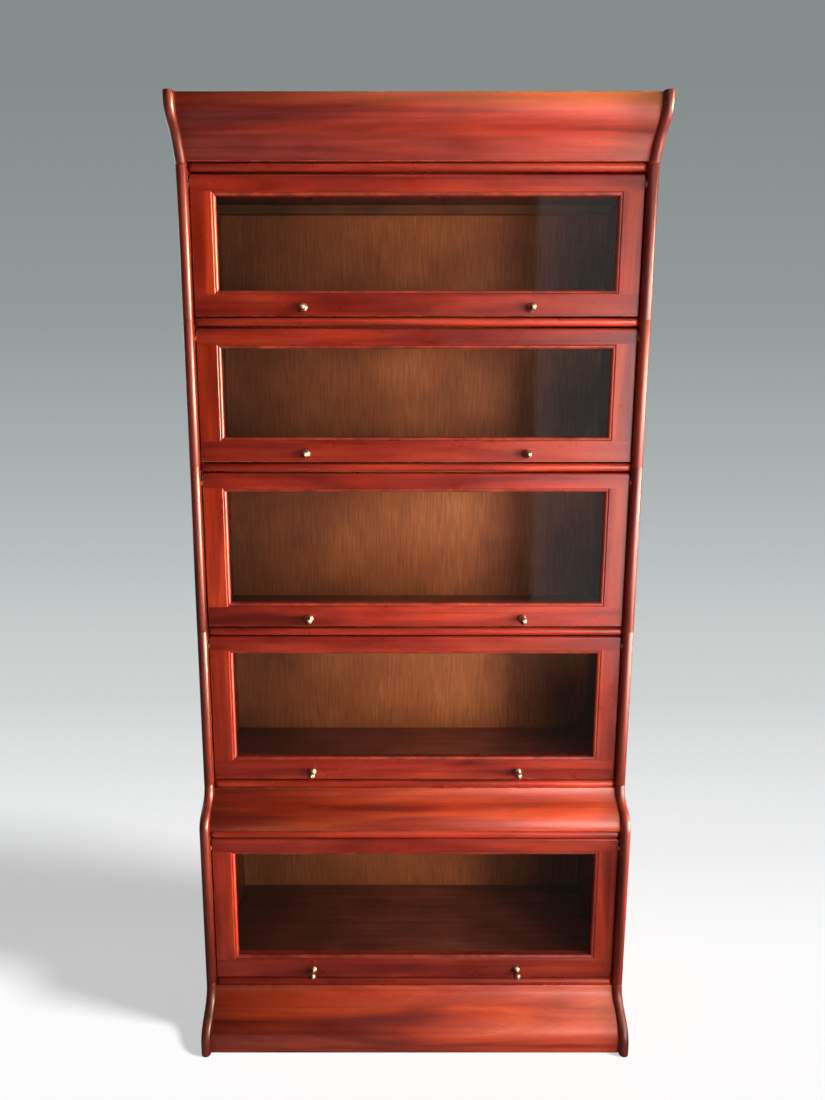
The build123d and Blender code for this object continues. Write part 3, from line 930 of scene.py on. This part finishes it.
def open_frame(low, high):
    """Take out the two middle faces, join the openings, and finish the outer edges."""
    pick("FACE", lambda face: is_panel(face, -1) or is_panel(face, 1))
    bpy.ops.mesh.delete(type="FACE")
    bpy.ops.mesh.select_all(action="SELECT")
    bpy.ops.mesh.remove_doubles(threshold=0.05 * mm)
    pick("EDGE", lambda edge: all(v.co.z > high.z - touch and v.co.y < low.y + touch for v in edge.verts))
    bpy.ops.mesh.bevel(offset=top_round, segments=5, affect="EDGES", clamp_overlap=False)
    for joint_z in joint_heights(low, high):
        bpy.ops.mesh.select_all(action="SELECT")
        bpy.ops.mesh.bisect(plane_co=(0, 0, joint_z), plane_no=(0, 0, 1))
    on_rim = lambda point: abs(point.co.x) > high.x - touch or point.co.z < low.z + touch
    pick("EDGE", lambda edge: edge.is_manifold and edge.calc_face_angle() > 1.0
         and all(on_rim(v) and v.co.y < low.y + touch for v in edge.verts))
    bpy.ops.mesh.bevel(offset=rim_round, segments=2, affect="EDGES", material=2)


# %% Drill the top rail for the pivot pins
pin_in = 10 * mm
hole_radius, hole_length, hole_middle = 3.05 * mm, 20 * mm, 4 * mm


def drill_pivots(piece, low, high):
    """A hole in each end of the top rail, for the pin of the slide."""
    for side in (-1, 1):
        middle = (side * (high.x - hole_middle), low.y + pin_in, high.z - pin_in)
        cut(piece, start_rod("drill", hole_radius, hole_length, middle, sides=24))


# %% [markdown]
# Rails and stiles differ in grain and tone, so each face has to know its piece of the frame; its place
# tells. Dusters have rubbed the quarter round that falls to the glass. At the end, weighted normals keep
# the flats flat: smooth shading alone would let the rounded edges tilt the light on the faces beside them.

# %% Build a frame
stile_width = 44.5 * mm
rubbed_from, rubbed_to = 2.02 * mm, 6.5 * mm
side_margin, foot_margin, head_margin = 38 * mm, 30 * mm, 20 * mm


def member_of(face, low, high):
    """Which piece of the frame a face belongs to: left stile, right stile, bottom rail or top rail."""
    foot, head = joint_heights(low, high)
    if foot < face.center.z < head and abs(face.center.x) > high.x - stile_width:
        return 0 if face.center.x < 0 else 1
    return 2 if face.center.z < (foot + head) / 2 else 3


def is_rubbed(face, low, high):
    """True on the quarter round that falls to the glass."""
    between_rails = low.z + foot_margin < face.center.z < high.z - head_margin
    between_stiles = abs(face.center.x) < high.x - side_margin
    return rubbed_from < face.center.y - low.y < rubbed_to and between_stiles and between_rails


def door_frame(number):
    """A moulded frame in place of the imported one."""
    low, high = (Vector(corner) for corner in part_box(f"door_{number}_frame"))
    piece = start_board(f"door_{number}_moulded_frame", low, high)
    for wood in (upright_wood, level_wood, worn_edge, rubbed_wood):
        piece.data.materials.append(wood)
    bpy.ops.object.mode_set(mode="EDIT")
    mould_front(low, high)
    rebate_back(low, high)
    open_frame(low, high)
    bpy.ops.object.mode_set(mode="OBJECT")
    drill_pivots(piece, low, high)
    for face in piece.data.polygons:
        if is_rubbed(face, low, high):
            face.material_index = 3
        elif face.material_index != 2 and member_of(face, low, high) > 1:
            face.material_index = 1
    make_active(piece)
    bpy.ops.object.shade_smooth_by_angle(angle=gentle_angle)
    flats = piece.modifiers.new("flats stay flat", "WEIGHTED_NORMAL")
    flats.keep_sharp = True
    bpy.ops.object.modifier_apply(modifier=flats.name)
    return piece


# %% Make three frames, copy two, and number their boards
frames = {number: door_frame(number) for number in (1, 3, 5)}
for number in (2, 4):
    down = at(0, 0, seams[number] - seams[number - 1])
    frames[number] = copy_piece(frames[number - 1], f"door_{number}_moulded_frame", down)
# How much paler than most, partly each board's own stain and partly painted light and shade: left stile,
# right stile, bottom rail, top rail
door_paler = {1: (0.45, 0.35, 0.05, 0.10), 2: (0.35, 0.05, -0.05, 0.05), 3: (0.55, 0.05, 0.22, 0.10),
              4: (0.35, 0.05, 0.05, 0.05), 5: (0.45, 0.05, -0.10, -0.10)}
before_doors = 40
for number, piece in frames.items():
    low, high = (Vector(corner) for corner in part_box(f"door_{number}_frame"))
    number_boards(piece, lambda face: before_doors + 4 * number + member_of(face, low, high),
                  lambda face: door_paler[number][member_of(face, low, high)])
    place_on(piece, f"door_{number}", f"door_{number}_frame")
    print(piece.name, "faces:", len(piece.data.polygons))

# %% [markdown]
# ## Knobs and guide studs
# Two small brass knobs sit low on each door: a round plate that rises to a neck, and a ball a little
# smaller than the plate. They were turned on a lathe. A disc is extruded forward ring by ring and each
# ring is drawn in or out to the next radius, which is the lathe's work step by step. On the edges of the
# door sit two flat studs that ride on runners when the door is open.

# %% Turn a knob
turned_angle = math.radians(35)
foot_radius = 8.6
# How far ahead of the door's face, and the radius there, in millimetres
knob_outline = [(0.5, 9.0), (1.4, 8.9), (2.2, 8.5), (3.2, 7.8), (4.4, 6.8), (5.6, 5.7), (6.6, 4.9),
                (7.6, 4.3), (9.0, 4.0), (10.4, 3.9), (11.6, 4.1), (12.5, 4.6), (13.4, 5.4), (14.6, 6.3),
                (16.2, 7.1), (18.0, 7.5), (19.8, 7.5), (21.6, 7.1), (23.2, 6.3), (24.7, 5.1), (25.9, 3.6),
                (26.6, 2.1), (26.9, 0.8)]


def turned_knob(name, place):
    """A knob standing out of a point on a door's face."""
    bpy.ops.object.select_all(action="DESELECT")
    bpy.ops.mesh.primitive_circle_add(vertices=40, radius=foot_radius * mm, fill_type="NGON", location=place,
                                      rotation=(math.pi / 2, 0, 0))
    knob = bpy.context.object
    knob.name = name
    bpy.ops.object.transform_apply(location=True, rotation=True, scale=True)
    bpy.ops.object.mode_set(mode="EDIT")
    bpy.ops.mesh.select_all(action="SELECT")
    was_out, was_radius = 0.0, foot_radius
    for out, radius in knob_outline:
        extrude(at(0, was_out - out, 0))
        grow = radius / was_radius
        centre = (place[0], place[1] - out * mm, place[2])
        bpy.ops.transform.resize(value=(grow, 1, grow), center_override=centre)
        was_out, was_radius = out, radius
    bpy.ops.mesh.select_all(action="SELECT")
    bpy.ops.mesh.normals_make_consistent(inside=False)
    bpy.ops.object.mode_set(mode="OBJECT")
    bpy.ops.object.shade_smooth_by_angle(angle=turned_angle)
    return knob


# %% Turn a guide stud, and any rod
def bevel_ends(rod, width, segments, is_end):
    """Bevel the edges of a rod that pass a test, and shade it smooth."""
    bpy.ops.object.mode_set(mode="EDIT")
    pick("EDGE", is_end)
    bpy.ops.mesh.bevel(offset=width, segments=segments, affect="EDGES")
    bpy.ops.object.mode_set(mode="OBJECT")
    bpy.ops.object.shade_smooth_by_angle(angle=turned_angle)
    return rod


stud_radius, stud_length, stud_drop = 5 * mm, 2.4 * mm, 55 * mm


def guide_stud(name, place):
    """A low round button on the left edge of a door, with a rounded rim."""
    stud = start_rod(name, stud_radius, stud_length, place)
    return bevel_ends(stud, 0.7 * mm, 3, lambda edge: all(v.co.x < place[0] for v in edge.verts))


# %% Join them for the first door and copy for the others
def join(pieces, name):
    """Make one object of several."""
    bpy.ops.object.select_all(action="DESELECT")
    for piece in pieces:
        piece.select_set(True)
    bpy.context.view_layer.objects.active = pieces[0]
    bpy.ops.object.join()
    pieces[0].name = name
    return pieces[0]


def copy_to_doors(first, node_kind, name_kind):
    """Pieces of doors 1 to 5: the first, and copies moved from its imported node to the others'."""
    made = {1: first}
    start = Vector(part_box(f"door_1_{node_kind}")[0])
    for number in (2, 3, 4, 5):
        there = Vector(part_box(f"door_{number}_{node_kind}")[0]) - start
        made[number] = copy_piece(first, f"door_{number}_{name_kind}", there)
    return made


knob_offset, knob_rise = -211 * mm, 15.5 * mm
low, high = (Vector(corner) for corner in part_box("door_1_frame"))
knob = turned_knob("door_1_knobs", Vector((knob_offset, low.y, low.z + knob_rise)))
stud_place = Vector((low.x - stud_length / 2, low.y + pin_in, high.z - stud_drop))
stud = guide_stud("door_1_stud", stud_place)
others = [copy_piece(piece, f"{piece.name}_right", mirrored=True) for piece in (knob, stud)]
brassware = join([knob, stud, *others], "door_1_brassware")
brassware.data.materials.append(brass)
brassware.data.materials.append(stud_brass_painted_dark)
# Faces out at the edges are the studs: they take the dark brass, painted shade
for face in brassware.data.polygons:
    face.material_index = int(abs(face.center.x) > near_end)
brass_sets = copy_to_doors(brassware, "knobs_and_studs", "brassware")
print("brass faces:", len(brassware.data.polygons))

# %% [markdown]
# The knobs of all doors stand at the same height over the bottom edge, but the studs hang from the top
# edge, so on the tall doors they are moved up on their copies: only the points out on the door's edges.

# %% Move the studs and put the brass on the doors
for number, piece in brass_sets.items():
    stud_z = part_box(f"door_{number}_frame")[1][2] - stud_drop
    make_active(piece)
    bpy.ops.object.mode_set(mode="EDIT")
    pick("VERT", lambda point: abs(point.co.x) > near_end)
    found = [v.co.z for v in bmesh.from_edit_mesh(piece.data).verts if v.select]
    bpy.ops.transform.translate(value=(0, 0, stud_z - (min(found) + max(found)) / 2))
    bpy.ops.object.mode_set(mode="OBJECT")
    place_on(piece, f"door_{number}", f"door_{number}_knobs_and_studs")
    print(piece.name, "stud height, m:", round(stud_z, 4))

# %% [markdown]
# ## Door slides
# Behind each door's top corners run two flat steel shoes in grooves of the end boards. Each carries the
# pin that the door turns on, and a rod ties the two together, so that the door stays square when it is
# pushed back. The shoe is a softened block, pin and rod are rods with bevelled ends.

# %% Make one slide and copy it
shoe_deep, shoe_half, shoe_front, shoe_rear = 5.5, 5, 9, 26
pin_radius, pin_root, pin_tip = 3, inside - 0.5, inside + 16
tie_radius, tie_back = 4, 20
pivot_y, pivot_z = front_y + pivot_back, cornice_seam - pivot_drop


def steel_rod(name, radius, x_low, x_high, y):
    """A rod across the bookcase at the height of the pivot, with small bevels at its ends."""
    rod = start_rod(name, radius * mm, (x_high - x_low) * mm, at((x_low + x_high) / 2, y, pivot_z))
    return bevel_ends(rod, 0.5 * mm, 2, lambda edge: abs(edge.verts[0].co.x - edge.verts[1].co.x) < touch)


shoe = start_board("door_1_shoe", at(inside - shoe_deep, pivot_y - shoe_front, pivot_z - shoe_half),
                   at(inside, pivot_y + shoe_rear, pivot_z + shoe_half))
shoe.data.materials.append(steel)
rub_edges(shoe, 1.0 * mm, 0)
pin = steel_rod("door_1_pin", pin_radius, pin_root, pin_tip, pivot_y)
mates = [copy_piece(piece, f"{piece.name}_right", mirrored=True) for piece in (shoe, pin)]
tie = steel_rod("door_1_tie", tie_radius, inside, -inside, pivot_y + tie_back)
slide = join([shoe, pin, *mates, tie], "door_1_slide_steel")
for number, piece in copy_to_doors(slide, "slide", "slide_steel").items():
    place_on(piece, f"carriage_{number}", f"door_{number}_slide")
print("slide faces:", len(slide.data.polygons))

# %% [markdown]
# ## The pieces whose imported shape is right
# Panes, beads, backs, rails and blocks are flat sheets and square strips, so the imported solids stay, and
# only get their finish. Each back also gets an object number, which gives it a figure of its own.

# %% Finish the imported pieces
figure_step = 7


def finish_node(node, material):
    """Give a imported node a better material."""
    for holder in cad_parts[node].material_slots:
        holder.material = material


for number in range(1, 6):
    finish_node(f"door_{number}_glass", glass)
    finish_node(f"door_{number}_beads", level_wood)
    finish_node(f"section_{number}_back", back_sheet)
    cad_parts[f"section_{number}_back"].pass_index = figure_step * number
plain_nodes = ("section_back_rails", "cornice_back_rail", "base_back_rail", "base_corner_blocks",
               "door_runners")
for node in plain_nodes:
    finish_node(node, rail_wood)
finish_node("cornice_top", level_wood)
print("packed pieces with a plain finish:", len(plain_nodes))

# %% [markdown]
# ## Look
# Colours go to the screen as they are, without a film curve.

# %% Show the colours as they are
bpy.context.scene.view_settings.view_transform = "Standard"
